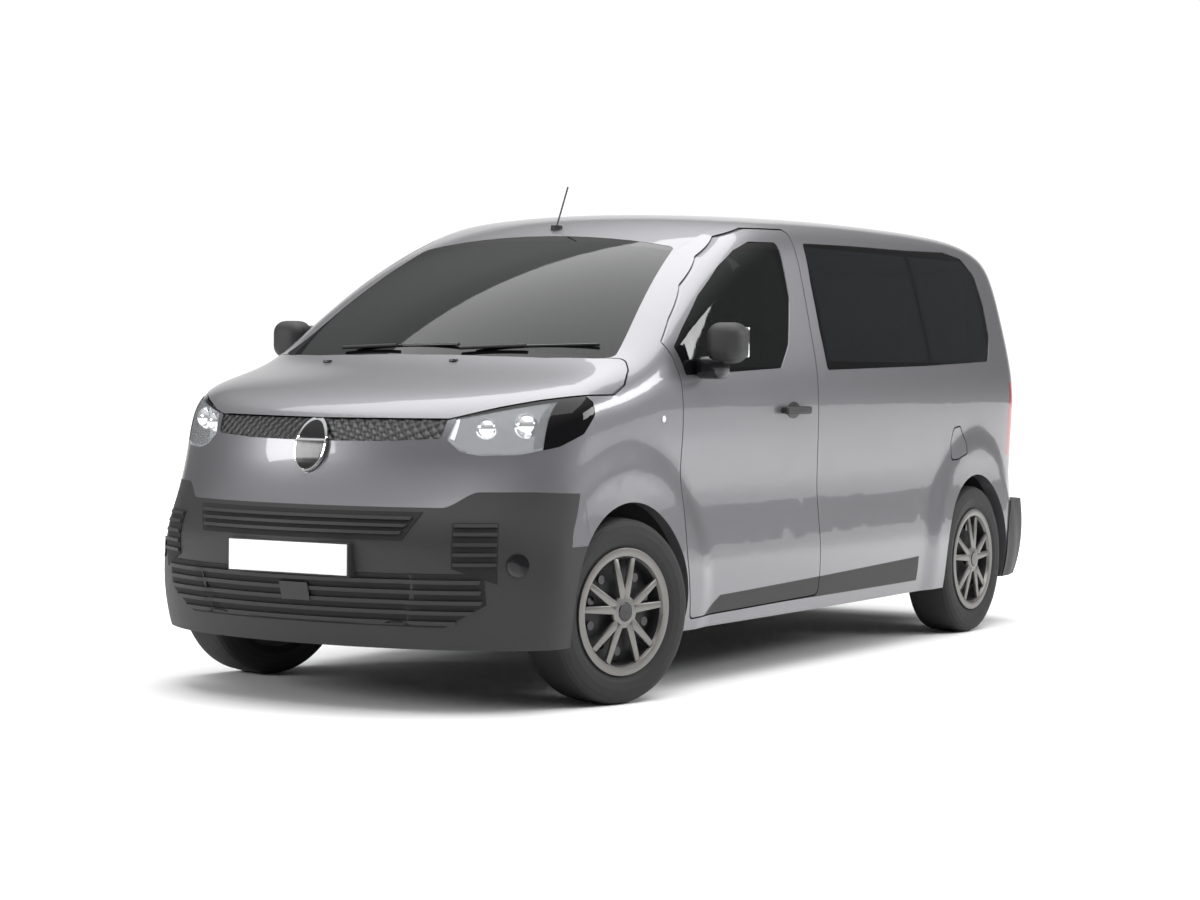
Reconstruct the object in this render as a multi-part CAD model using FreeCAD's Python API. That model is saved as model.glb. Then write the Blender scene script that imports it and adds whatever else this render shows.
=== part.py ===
import FreeCAD
import Part
import math
import os

# Minivan, 4.98 m long, with its nose towards -Y, its left side towards +X and the ground at Z = 0.
# All sizes are in millimetres. The origin is on the ground, midway between the bumpers.

Vector = FreeCAD.Vector

# ---------------------------------------------------------------- driving dimensions
overall_length = 4981.0
wheelbase = 3275.0
front_overhang = 903.0
front_track = 1630.0
rear_track = 1618.0
tyre_radius = 345.0
tyre_width = 215.0

nose_y = -overall_length / 2
front_axle_y = nose_y + front_overhang
rear_axle_y = front_axle_y + wheelbase

# Half width of the body at mid length, as (height, half width).
side_profile = [
    (150, 872), (230, 908), (330, 929), (430, 937), (520, 937), (620, 930), (740, 923),
    (880, 929), (1000, 937), (1100, 940), (1190, 935), (1260, 925), (1400, 896),
    (1550, 860), (1700, 822), (1800, 793), (1950, 746),
]
# Foremost point of the nose on the centre line, as (height, y).
nose_profile = [
    (150, -2360), (240, -2393), (314, -2412), (450, -2452), (560, -2482), (620, -2488),
    (700, -2462), (760, -2425), (831, -2388), (900, -2364), (1000, -2352), (1100, -2345),
    (1250, -2330),
]
# Where the plan view of the nose starts to round, as (height, y).
nose_root = [(150, -2010), (560, -2000), (760, -1930), (978, -1850), (1140, -1810), (1300, -1790)]
# Roof height on the centre line, as (y, height).
roof_profile = [
    (-1700, 1640), (-1000, 1800), (-742, 1838), (-500, 1870), (0, 1897), (500, 1908),
    (1000, 1909), (1500, 1903), (2000, 1887), (2400, 1866), (2600, 1855),
]
# Bonnet height on the centre line, as (y, height).
bonnet_profile = [
    (-2500, 930), (-2400, 1020), (-2300, 1085), (-2200, 1125), (-2000, 1181), (-1800, 1228),
    (-1585, 1273), (-1300, 1326), (-900, 1401), (0, 1480), (2600, 1500),
]
# Rearmost point of the tail on the centre line above the bumper, as (height, y).
tail_profile = [
    (150, 2380), (500, 2420), (800, 2425), (1150, 2412), (1450, 2396), (1600, 2382),
    (1750, 2345), (1900, 2300),
]

# Rearmost point of the rear bumper on the centre line, as (height, y).
rear_bumper_profile = [(150, 2440), (240, 2455), (330, 2478), (430, 2491), (540, 2491), (640, 2484)]

screen_foot = (-1585.0, 1273.0)     # (y, z) of the windscreen's lower edge on the centre line
screen_head = (-742.0, 1775.0)      # (y, z) of its upper edge
screen_bow = 38.0                   # how far it bulges between them
screen_crown = 1.55e-4              # its cross curvature, per mm of x squared
roof_crown = 7.0e-5
bonnet_crown = 5.5e-5
tail_crown = 3.0e-5
side_bow = 1.1e-5                   # plan curvature of the sides
side_bow_y = 300.0                  # where the body is widest

corner_softness = 45.0              # pillars and roof rails
shoulder_softness = 62.0            # bonnet to wing
tail_softness = 100.0               # rear corners in plan
bumper_softness = 55.0              # rear bumper corners
header_softness = 18.0
cowl_softness = 45.0

arch_radius = 400.0
flare_height = 20.0
flare_inner = 500.0
flare_outer = 640.0


def profile(points, s):
    """Smooth curve through (s, value) points, straight beyond its ends."""
    if s <= points[0][0]:
        (a, fa), (b, fb) = points[0], points[1]
        return fa + (fb - fa) * (s - a) / (b - a)
    if s >= points[-1][0]:
        (a, fa), (b, fb) = points[-2], points[-1]
        return fb + (fb - fa) * (s - b) / (b - a)
    i = 1
    while points[i][0] < s:
        i += 1
    (a, fa), (b, fb) = points[i - 1], points[i]
    secant = (fb - fa) / (b - a)
    before = secant if i == 1 else (fa - points[i - 2][1]) / (a - points[i - 2][0])
    after = secant if i == len(points) - 1 else (points[i + 1][1] - fb) / (points[i + 1][0] - b)
    slope_a = (before + secant) / 2
    slope_b = (secant + after) / 2
    t = (s - a) / (b - a)
    h = b - a
    return (
        fa * (1 + 2 * t) * (1 - t) ** 2 + slope_a * h * t * (1 - t) ** 2
        + fb * t * t * (3 - 2 * t) + slope_b * h * t * t * (t - 1)
    )


def smooth_step(s, low, high):
    t = min(1.0, max(0.0, (s - low) / (high - low)))
    return t * t * (3 - 2 * t)


def soft_max(softness, *values):
    top = max(values)
    return top + softness * math.log(sum(math.exp((v - top) / softness) for v in values))


def soft_min(softness, *values):
    return -soft_max(softness, *[-v for v in values])


def flare(y, z):
    """How far the wheel arches stand out of the side."""
    out = 0.0
    for axle_y in (front_axle_y, rear_axle_y):
        r = math.hypot(y - axle_y, z - tyre_radius)
        out += flare_height * (1 - smooth_step(r, flare_inner, flare_outer))
    return out


def half_width(y, z):
    return profile(side_profile, z) - side_bow * (y - side_bow_y) ** 2 + flare(y, z)


def plan_face(x, y, z):
    """Distance outside the sides and the nose, seen from above."""
    width = half_width(y, z)
    root = profile(nose_root, z)
    if y >= root:
        return abs(x) - width
    depth = root - profile(nose_profile, z)
    across = abs(x) / width
    along = (root - y) / depth
    reach = math.hypot(across, along)
    return (reach - 1) * (width * across ** 2 + depth * along ** 2) / reach ** 2


def screen_face(x, y, z):
    dy = screen_head[0] - screen_foot[0]
    dz = screen_head[1] - screen_foot[1]
    chord = math.hypot(dy, dz)
    along = ((y - screen_foot[0]) * dy + (z - screen_foot[1]) * dz) / chord
    out = (-(y - screen_foot[0]) * dz + (z - screen_foot[1]) * dy) / chord
    t = along / chord
    return out - screen_bow * 4 * t * (1 - t) + screen_crown * x * x


def roof_face(x, y, z):
    return z - profile(roof_profile, y) + roof_crown * x * x


def bonnet_face(x, y, z):
    return z - profile(bonnet_profile, y) + bonnet_crown * x * x


def tail_face(x, y, z):
    return y - profile(tail_profile, z) + tail_crown * x * x


def body_face(x, y, z):
    """Distance outside the whole body, smooth over its edges."""
    plan = soft_max(tail_softness, plan_face(x, y, z), tail_face(x, y, z))
    cabin = soft_max(header_softness, roof_face(x, y, z), screen_face(x, y, z))
    top = soft_min(cowl_softness, cabin, bonnet_face(x, y, z))
    forward = smooth_step(-y, 1250, 1700)
    softness = corner_softness + (shoulder_softness - corner_softness) * forward
    return soft_max(softness, plan, top)


def rear_bumper_face(x, y, z):
    """Distance outside the rear bumper, which stands out of the tail."""
    back = y - profile(rear_bumper_profile, z) + tail_crown * x * x
    return soft_max(bumper_softness, plan_face(x, y, z), back)


# ---------------------------------------------------------------- panel sizes
panel_gap = 6.0                     # round every door and lid
wall = 60.0                         # doors and body sides
roof_wall = 28.0
bonnet_wall = 22.0
bumper_wall = 34.0
tailgate_wall = 52.0
glass = 5.0
glass_inset = 3.0
door_lean = 0.21                    # how far the door's end walls lean back per mm of depth
pane_gap = 0.3

door_front = [
    (-1152, 284, 25), (-1176, 395, 0), (-1198, 520, 0), (-1206, 700, 0), (-1211, 1000, 0),
    (-1222, 1185, 20), (-1277, 1336, 14), (-1161, 1425, 0), (-963, 1562, 0), (-739, 1682, 0),
    (-526, 1771, 60), (-348, 1812, 120), (-62, 1818, 28), (-66, 1600, 0), (-80, 1400, 0),
    (-88, 1120, 60), (-58, 790, 60), (-46, 560, 0), (-42, 299, 30),
]
door_window = [
    (-1185, 1214, 12), (-1228, 1322, 10), (-1130, 1398, 0), (-948, 1524, 0), (-728, 1644, 0),
    (-560, 1716, 60), (-420, 1757, 60), (-200, 1762, 30), (-216, 1523, 60), (-300, 1340, 60),
    (-400, 1243, 30),
]
side_window = [
    (22, 1236, 20), (8, 1400, 0), (14, 1600, 0), (36, 1768, 20), (500, 1776, 0), (1100, 1780, 0),
    (1600, 1790, 60), (1800, 1767, 80), (1918, 1688, 60), (1956, 1550, 80), (1944, 1380, 60),
    (1872, 1278, 50), (1067, 1255, 0),
]
sliding_door = [
    (0, 302, 30), (0, 1200, 0), (-14, 1400, 0), (-6, 1600, 0), (14, 1812, 30), (1128, 1822, 30),
    (1134, 1200, 0), (1128, 760, 60), (1060, 480, 80), (1050, 302, 30),
]
sliding_window = [
    (52, 1236, 20), (40, 1400, 0), (46, 1600, 0), (60, 1768, 20), (500, 1774, 0), (1080, 1776, 20),
    (1086, 1258, 20),
]
quarter_window = [
    (1176, 1258, 20), (1176, 1778, 20), (1600, 1786, 60), (1800, 1764, 80), (1918, 1686, 60),
    (1956, 1550, 80), (1944, 1380, 60), (1872, 1278, 50),
]
bumper_zone = [
    (-3000, 150, 0), (-1830, 150, 0), (-1830, 556, 0), (-1868, 600, 20), (-1895, 700, 0),
    (-1900, 838, 30), (-1882, 930, 30), (-1885, 1300, 0), (-3000, 1300, 0),
]
wing_zone = [
    (-2300, 236, 0), (-1146, 236, 0), (-1146, 1240, 0), (-1213, 1240, 0), (-1213, 1600, 0),
    (-2300, 1600, 0),
]
rear_bumper_zone = [
    (2092, 100, 0), (2092, 420, 30), (2112, 520, 30), (2160, 604, 20), (3000, 604, 0), (3000, 100, 0),
]
lamp_outline = [
    (-1223, 979, 12), (-1180, 938, 20), (-1114, 924, 40), (-973, 929, 60), (-823, 957, 60),
    (-719, 1003, 40), (-667, 1070, 30), (-670, 1117, 14), (-703, 1142, 14), (-882, 1124, 0),
    (-1031, 1098, 0), (-1178, 1071, 14),
]
tail_lamp_outline = [
    (908, 824, 14), (888, 1000, 80), (906, 1180, 14), (1158, 1180, 10), (1158, 824, 10),
]
bonnet_half = [
    (0, -1642, 0), (300, -1629, 0), (520, -1594, 0), (700, -1532, 0), (800, -1474, 30),
    (838, -1518, 0), (864, -1590, 0), (868, -1680, 0), (864, -1800, 0), (852, -1860, 0),
    (900, -2500, 0),
]
bonnet_edge = [(0, 1052, 0), (506, 1056, 30), (652, 1099, 0), (752, 1125, 0), (846, 1144, 0), (1000, 1150, 0)]
intake_half = [(0, 508, 0), (470, 508, 20), (430, 330, 40), (0, 318, 0)]
tailgate_half = [(706, 620, 30), (742, 800, 0), (742, 1200, 0), (700, 1600, 0), (640, 1990, 0)]
tail_window_half = [(640, 1250, 60), (590, 1740, 60)]

floor_z = 330.0
cabin_half = 826.0                  # half width of the floor
roof_edge_x = 622.0
roof_rear_y = 2252.0
sill_bottom = 236.0


# ---------------------------------------------------------------- solids from the skin
def pierce(origin, direction, level, face):
    """Point on a ray from inside the body where face equals level."""
    def at(t):
        return [o + t * d for o, d in zip(origin, direction)]

    near, near_value = 0.0, face(*origin) - level
    far = 120.0
    far_value = face(*at(far)) - level
    while far_value < 0:
        near, near_value = far, far_value
        far += 120.0
        far_value = face(*at(far)) - level
    last = 0
    t = far
    for _ in range(60):
        t = (near * far_value - far * near_value) / (far_value - near_value)
        value = face(*at(t)) - level
        if abs(value) < 0.004:
            break
        if value > 0:
            far, far_value = t, value
            near_value = near_value / 2 if last == 1 else near_value
            last = 1
        else:
            near, near_value = t, value
            far_value = far_value / 2 if last == -1 else far_value
            last = -1
    return Vector(*at(t))


def steps(low, high, count):
    return [low + (high - low) * i / count for i in range(count + 1)]


def skin(rays, level, face):
    surface = Part.BSplineSurface()
    surface.interpolate([[pierce(o, d, level, face) for o, d in row] for row in rays])
    return surface


def borders(surface):
    u0, u1, v0, v1 = surface.bounds()
    return [surface.uIso(u0), surface.uIso(u1), surface.vIso(v0), surface.vIso(v1)]


def between(outer, inner):
    """Solid between two surfaces with matching borders."""
    faces = [outer.toShape(), inner.toShape()]
    for a, b in zip(borders(outer), borders(inner)):
        faces.append(Part.makeRuledSurface(a.toShape(), b.toShape()))
    shell = Part.makeCompound(faces)
    shell.sewShape(0.01)
    solid = Part.makeSolid(shell.Shells[0])
    if solid.Volume < 0:
        solid.reverse()
    return solid


def slab(rays, outer, inner, face=body_face):
    return between(skin(rays, outer, face), skin(rays, inner, face))


turn_height = [(-2400, 850), (-1900, 880), (-1600, 940), (-1300, 1020), (-900, 1150), (2600, 1150)]
turn_end = [
    (-2400, 560, 1040), (-2150, 560, 1120), (-1585, 560, 1260), (-1250, 560, 1440),
    (-742, 540, 1760), (-500, 520, 1850), (2600, 520, 1850),
]


def side_rays(y_start, y_end, y_count, corner_count=0, z_count=18, fan_count=14, low=200.0):
    """Rays out to the left side, over the roof rail and round the rear corner."""
    plan = [(y, 0.0) for y in steps(y_start, y_end, y_count)]
    plan += [(y_end, math.radians(a)) for a in steps(0, 56, corner_count)[1:]] if corner_count else []
    rows = []
    for y, turn in plan:
        base = profile(turn_height, y)
        reach_x = profile([(p[0], p[1]) for p in turn_end], y) - 300
        reach_z = profile([(p[0], p[2]) for p in turn_end], y) - base
        limit = math.atan2(reach_z, reach_x)
        row = [((300, y, z), (math.cos(turn), math.sin(turn), 0)) for z in steps(low, base, z_count)]
        for rise in steps(0, limit, fan_count)[1:]:
            flat = math.cos(rise)
            way = (math.cos(turn) * flat, math.sin(turn) * flat, math.sin(rise))
            row.append(((300, y, base), way))
        rows.append(row)
    return rows


def plan_fan(y, way, z_low, z_high, z_count, spread, count):
    """Rays fanned out in plan from the centre line, way being -1 to the nose or 1 to the tail."""
    rows = []
    for a in steps(-spread, spread, count):
        turn = math.radians(a)
        flat = (math.sin(turn), way * math.cos(turn), 0)
        rows.append([((0, y, z), flat) for z in steps(z_low, z_high, z_count)])
    return rows


def roof_rays():
    rows = []
    for x in steps(-650, 650, 26):
        rows.append([((x, y, 1300), (0, 0, 1)) for y in steps(-790, 2290, 62)])
    return rows


def bonnet_rays():
    """Rays fanned over the shoulders, and forward over the bonnet's front edge."""
    rows = []
    for a in steps(-66, 66, 48):
        turn = math.radians(a)
        row = []
        for y in steps(-1440, -2050, 16):
            row.append(((0.62 * 900 * a / 66, y, 820), (math.sin(turn), 0, math.cos(turn))))
        for lean in steps(0, 60, 12)[1:]:
            tip = math.radians(lean)
            way = (math.sin(turn), -math.sin(tip) * math.cos(turn), math.cos(tip) * math.cos(turn))
            row.append(((0.62 * 900 * a / 66, -2050, 820), way))
        rows.append(row)
    return rows


def tail_rays():
    """Rays back to the tailgate and up over its top edge."""
    rows = []
    for x in steps(-780, 780, 22):
        row = [((x, 1900, z), (0, 1, 0)) for z in steps(590, 1560, 24)]
        for rise in steps(0, 62, 16)[1:]:
            tip = math.radians(rise)
            row.append(((x, 1900, 1560), (0, math.cos(tip), math.sin(tip))))
        rows.append(row)
    return rows


# ---------------------------------------------------------------- outlines and prisms
side_view = (Vector(0, 1, 0), Vector(0, 0, 1), Vector(1, 0, 0))
front_view = (Vector(1, 0, 0), Vector(0, 0, 1), Vector(0, -1, 0))
top_view = (Vector(1, 0, 0), Vector(0, 1, 0), Vector(0, 0, 1))
diagonal = math.sqrt(0.5)
front_corner = (Vector(diagonal, diagonal, 0), Vector(0, 0, 1), Vector(diagonal, -diagonal, 0))
rear_corner = (Vector(-diagonal, diagonal, 0), Vector(0, 0, 1), Vector(diagonal, diagonal, 0))


def signed_area(points):
    total = 0.0
    for (a, b), (c, d) in zip(points, points[1:] + points[:1]):
        total += a * d - b * c
    return total / 2


def grown(corners, grow):
    """The outline moved outwards by grow."""
    points = [(c[0], c[1]) for c in corners]
    turn = 1 if signed_area(points) > 0 else -1
    out = []
    for i, corner in enumerate(corners):
        before = points[i - 1]
        here = points[i]
        after = points[(i + 1) % len(points)]
        ux, uy = here[0] - before[0], here[1] - before[1]
        vx, vy = after[0] - here[0], after[1] - here[1]
        ul, vl = math.hypot(ux, uy), math.hypot(vx, vy)
        n1 = (turn * uy / ul, -turn * ux / ul)
        n2 = (turn * vy / vl, -turn * vx / vl)
        k = 1 + n1[0] * n2[0] + n1[1] * n2[1]
        out.append((
            here[0] + grow * (n1[0] + n2[0]) / k, here[1] + grow * (n1[1] + n2[1]) / k,
            max(0.0, corner[2]) if len(corner) > 2 else 0.0,
        ))
    return out


def rounded(corners):
    """Edges of a closed outline whose corners are (a, b, radius), in the plane z = 0."""
    count = len(corners)
    cuts = []
    for i in range(count):
        a, b, c = corners[i - 1], corners[i], corners[(i + 1) % count]
        back = (a[0] - b[0], a[1] - b[1])
        ahead = (c[0] - b[0], c[1] - b[1])
        lb, la = math.hypot(*back), math.hypot(*ahead)
        cosine = (back[0] * ahead[0] + back[1] * ahead[1]) / (lb * la)
        half = math.acos(max(-1.0, min(1.0, cosine))) / 2
        reach = 0.0
        if b[2] > 0 and half < 1.55:
            reach = min(b[2] / math.tan(half), 0.45 * lb, 0.45 * la)
        start = (b[0] + back[0] / lb * reach, b[1] + back[1] / lb * reach)
        end = (b[0] + ahead[0] / la * reach, b[1] + ahead[1] / la * reach)
        middle = None
        if reach > 0.5:
            radius = reach * math.tan(half)
            mx, my = (start[0] + end[0]) / 2 - b[0], (start[1] + end[1]) / 2 - b[1]
            ml = math.hypot(mx, my)
            deep = radius / math.sin(half) - radius
            middle = (b[0] + mx / ml * deep, b[1] + my / ml * deep)
        cuts.append((start, middle, end))
    edges = []
    for i, (start, middle, end) in enumerate(cuts):
        following = cuts[(i + 1) % count][0]
        if middle:
            edges.append(Part.Arc(*[Vector(p[0], p[1], 0) for p in (start, middle, end)]).toShape())
        if math.hypot(following[0] - end[0], following[1] - end[1]) > 1e-6:
            edges.append(Part.makeLine(Vector(*end, 0), Vector(*following, 0)))
    return edges


def place(shape, view, origin=Vector(0, 0, 0)):
    u, v, n = view
    if u.cross(v).dot(n) < 0:
        shape = shape.mirror(Vector(0, 0, 0), Vector(0, 0, 1))
    w = u.cross(v)
    matrix = FreeCAD.Matrix(
        u.x, v.x, w.x, origin.x, u.y, v.y, w.y, origin.y, u.z, v.z, w.z, origin.z, 0, 0, 0, 1,
    )
    return moved(shape, matrix)


def moved(shape, matrix):
    copy = shape.copy()
    copy.Placement = FreeCAD.Placement(matrix).multiply(copy.Placement)
    return copy


def prism(corners, view, low, high, grow=0.0, lean=0.0, origin=Vector(0, 0, 0)):
    """Outline swept from low to high along the view's third axis, leaning along its first."""
    wire = Part.Wire(rounded(grown(corners, grow)))
    face = Part.Face(wire)
    face.translate(Vector(lean * low, 0, low))
    solid = face.extrude(Vector(lean * (high - low), 0, high - low))
    return place(solid, view, origin)


def whole(half):
    """Outline mirrored in its first coordinate; the half starts and may end at zero."""
    left = [(-a, b, r) for a, b, r in reversed(half) if a > 0]
    return half + left


def mirror(shape):
    return shape.mirror(Vector(0, 0, 0), Vector(1, 0, 0))


def both(shape):
    return [shape, mirror(shape)]


def box(x0, x1, y0, y1, z0, z1):
    return Part.makeBox(x1 - x0, y1 - y0, z1 - z0, Vector(x0, y0, z0))


def rod(a, b, radius):
    a, b = Vector(*a), Vector(*b)
    return Part.makeCylinder(radius, (b - a).Length, a, b - a)


def cut_all(shape, tools):
    for tool in tools:
        if tool.BoundBox.intersect(shape.BoundBox):
            shape = shape.cut(tool)
    return shape


def skin_x(y, z):
    """Half width of the finished body at a height and length."""
    base = min(z, profile(turn_height, y))
    if z <= base:
        return pierce((300, y, z), (1, 0, 0), 0, body_face).x
    low, high = 300.0, 1100.0
    for _ in range(40):
        x = (low + high) / 2
        if body_face(x, y, z) < 0:
            low = x
        else:
            high = x
    return x


door_plane = 960.0


def leaned(corners):
    """Side outline carried along the door's lean from the skin to the plane x = 960."""
    return [(y + door_lean * (door_plane - skin_x(y, z)), z, r) for y, z, r in corners]


def door_prism(corners, grow=0.0):
    return prism(leaned(corners), side_view, 560 - door_plane, 1200 - door_plane, grow, door_lean,
                 Vector(door_plane, 0, 0))


# ---------------------------------------------------------------- cutters
front_door_leaf = door_prism(door_front)
front_door_hole = door_prism(door_front, panel_gap)
door_glass_hole = door_prism(door_window)
door_glass_pane = door_prism(door_window, -pane_gap)
side_glass_hole = prism(side_window, side_view, 500, 1200)
side_glass_pane = prism(side_window, side_view, 500, 1200, -pane_gap)
slider_leaf = prism(sliding_door, side_view, 560, 1200)
slider_hole = prism(sliding_door, side_view, 560, 1200, panel_gap)
slider_glass_hole = prism(sliding_window, side_view, 500, 1200)
slider_glass_pane = prism(sliding_window, side_view, 500, 1200, -pane_gap)
quarter_hole = prism(quarter_window, side_view, 500, 1200)
quarter_pane = prism(quarter_window, side_view, 500, 1200, -pane_gap)
nose_zone = prism(bumper_zone, side_view, -1300, 1300)
wing_region = prism(wing_zone, side_view, 300, 1200)
bumper_region = prism(rear_bumper_zone, side_view, -1300, 1300)
lamp_hole = prism(lamp_outline, front_corner, 1200, 2600)
lamp_body = prism(lamp_outline, front_corner, 1200, 2600, -pane_gap)
lamp_inside = prism(lamp_outline, front_corner, 1200, 2600, -8)
tail_lamp_hole = prism(tail_lamp_outline, rear_corner, 1200, 2900)
tail_lamp_block = prism(tail_lamp_outline, rear_corner, 1200, 2900, -pane_gap)

bonnet_outline = whole(bonnet_half)
bonnet_front = whole(bonnet_edge + [(1000, 1700, 0)])
bonnet_leaf = prism(bonnet_outline, top_view, 700, 1700).common(prism(bonnet_front, front_view, 1000, 2700))
above_nose = prism(bonnet_front, front_view, 1000, 2700, panel_gap)
bonnet_hole = prism(bonnet_outline, top_view, 700, 1700, panel_gap)
bonnet_hole = bonnet_hole.common(above_nose)
grille_outline = whole([(0, 1080, 0), (506, 1080, 12), (496, 984, 16), (300, 972, 0), (0, 968, 0)])
grille_hole = prism(grille_outline, front_view, 1700, 2700)
grille_block = prism(grille_outline, front_view, 1700, 2700, -pane_gap)
intake_outline = whole(intake_half)
intake_hole = prism(intake_outline, front_view, 1700, 2700)
intake_block = prism(intake_outline, front_view, 1700, 2700, -pane_gap)
tailgate_outline = whole(tailgate_half)
tailgate_leaf = prism(tailgate_outline, front_view, -2900, -2258)
tailgate_hole = prism(tailgate_outline, front_view, -2900, -1900, panel_gap)
tail_window = whole(tail_window_half)
tail_glass_hole = prism(tail_window, front_view, -2900, -1900)
tail_glass_pane = prism(tail_window, front_view, -2900, -1900, -pane_gap)

screen_dy = screen_head[0] - screen_foot[0]
screen_dz = screen_head[1] - screen_foot[1]
screen_chord = math.hypot(screen_dy, screen_dz)
screen_up = Vector(0, screen_dy / screen_chord, screen_dz / screen_chord)
screen_out = Vector(0, -screen_dz / screen_chord, screen_dy / screen_chord)
screen_view = (Vector(1, 0, 0), screen_up, screen_out)
screen_origin = Vector(0, screen_foot[0], screen_foot[1])
screen_outline = [(0, -34, 0), (300, -26, 0), (520, -4, 0), (700, 46, 0), (762, 92, 40)]
screen_outline += [(596, screen_chord - 6, 36), (400, screen_chord, 0)]
screen_outline += [(-a, b, r) for a, b, r in reversed(screen_outline) if a > 0]
screen_hole = prism(screen_outline, screen_view, -160, 300, 0, 0, screen_origin)
screen_pane = prism(screen_outline, screen_view, -160, 300, -pane_gap, 0, screen_origin)

roof_outline = [
    (roof_edge_x, roof_rear_y - panel_gap, 0), (roof_edge_x, -640, 0), (600, -900, 0),
    (-600, -900, 0), (-roof_edge_x, -640, 0), (-roof_edge_x, roof_rear_y - panel_gap, 0),
]
roof_region = prism(roof_outline, top_view, 1500, 2200)
roof_block = prism(roof_outline, top_view, 1500, 2200, -pane_gap)
roof_room = prism(roof_outline, top_view, 1500, 2200, panel_gap)
front_arch = rod((-1300, front_axle_y, tyre_radius), (1300, front_axle_y, tyre_radius), arch_radius)
rear_arch = rod((500, rear_axle_y, tyre_radius), (1300, rear_axle_y, tyre_radius), arch_radius)
below_sill = box(-1400, 1400, -3000, 3000, -100, sill_bottom)

parts = {}

# ---------------------------------------------------------------- body sides
side_wall = slab(side_rays(-1330, 2080, 84, 14, 20, 26), 0, -wall)
side_wall = cut_all(side_wall, [
    below_sill, wing_region, front_door_hole, rear_arch, roof_region, screen_hole, tailgate_hole,
    bumper_region, tail_lamp_hole,
])
fuel_outline = [
    (1382, 826, 14), (1382, 906, 14), (1402, 966, 30), (1480, 972, 14), (1545, 900, 14),
    (1545, 850, 14), (1440, 826, 14),
]
flap_rays = [[((300, y, z), (1, 0, 0)) for z in steps(780, 1020, 8)] for y in steps(1330, 1600, 10)]
fuel_pocket = prism(fuel_outline, side_view, 896, 1200, panel_gap + 1)
parts["fuel_flap"] = [slab(flap_rays, 0, -4).common(prism(fuel_outline, side_view, 900, 1200))]
sill_beam = box(cabin_half - 40, cabin_half, -1140, 1240, sill_bottom, floor_z)
sill_beam = sill_beam.fuse(box(cabin_half - 40, 880, -1140, 1240, sill_bottom, 276))
left_side = cut_all(side_wall, [side_glass_hole, fuel_pocket]).fuse(sill_beam)
right_side = cut_all(side_wall, [slider_hole, quarter_hole]).fuse(sill_beam)
parts["body_side_left"] = [left_side]
parts["body_side_right"] = [mirror(right_side)]
slider = slab(side_rays(-60, 1180, 26), 0, -wall).common(slider_leaf).cut(slider_glass_hole)
slider_arm = box(cabin_half - 20, 880, 480, 540, floor_z + 20, floor_z + 36)
parts["sliding_door_right"] = [mirror(slider.fuse(slider_arm))]
side_pane = slab(side_rays(-40, 2010, 40, 0, 14, 12, 1100.0), -glass_inset, -glass_inset - glass)
parts["side_glass_left"] = [side_pane.common(side_glass_pane)]
parts["side_glass_right"] = [
    mirror(side_pane.common(slider_glass_pane)), mirror(side_pane.common(quarter_pane)),
]

# ---------------------------------------------------------------- wings, bonnet, nose
bonnet_room = slab(bonnet_rays(), 12, -bonnet_wall - 8).common(bonnet_hole)
wing = slab(side_rays(-2110, -1120, 22, 0, 20, 14), 0, -45.0).common(wing_region)
wing = cut_all(wing, [
    front_arch, nose_zone, front_door_hole, lamp_hole, bonnet_room, screen_hole, below_sill,
])
parts["front_wings"] = both(wing)

bonnet = slab(bonnet_rays(), 0, -bonnet_wall).common(bonnet_leaf)
parts["bonnet"] = [bonnet]

nose_rays = plan_fan(-1600, -1, 200, 1110, 36, 76, 48)
nose = slab(nose_rays, 0, -bumper_wall).common(nose_zone)
parts["front_bumper"] = [cut_all(nose, [
    front_arch, lamp_hole, mirror(lamp_hole), above_nose, grille_hole, intake_hole, below_sill,
])]
grille_rays = plan_fan(-1600, -1, 930, 1110, 8, 48, 20)
grille = slab(grille_rays, -6, -bumper_wall).common(grille_block)
parts["upper_grille"] = [cut_all(grille, [above_nose, lamp_hole, mirror(lamp_hole)])]
intake_rays = plan_fan(-1600, -1, 290, 560, 10, 40, 16)
parts["lower_grille"] = [slab(intake_rays, -12, -bumper_wall).common(intake_block)]

lamp_rays = []
for a in steps(33, 79, 14):
    turn = math.radians(a)
    flat = (math.sin(turn), -math.cos(turn), 0)
    lamp_rays.append([((0, -1600, z), flat) for z in steps(900, 1094 + (a - 33) * 1.24, 10)])
lamp_front = skin(lamp_rays, -1, body_face)
lamp_middle = skin(lamp_rays, -5, body_face)
lens = between(lamp_front, lamp_middle).common(lamp_body).cut(bonnet_room)
bowl = between(lamp_middle, skin(lamp_rays, -80, plan_face)).common(lamp_body)
bowl = bowl.cut(between(lamp_front, skin(lamp_rays, -72, plan_face)).common(lamp_inside))
bowl = bowl.cut(bonnet_room)
parts["headlamp_lenses"] = both(lens)
parts["headlamp_bodies"] = both(bowl)

# ---------------------------------------------------------------- windscreen and roof
def screen_point(x, along, level):
    t = along / screen_chord
    out = screen_bow * 4 * t * (1 - t) - screen_crown * x * x + level
    return screen_origin + Vector(x, 0, 0) + screen_up * along + screen_out * out


def screen_skin(level):
    grid = [[screen_point(x, s, level) for s in steps(-70, screen_chord + 60, 12)]
            for x in steps(-800, 800, 16)]
    surface = Part.BSplineSurface()
    surface.interpolate(grid)
    return surface


parts["windscreen"] = [between(screen_skin(-1), screen_skin(-1 - glass)).common(screen_pane)]
roof = slab(roof_rays(), 0, -roof_wall).common(roof_block)
parts["roof_panel"] = [roof.cut(screen_hole)]

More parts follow.
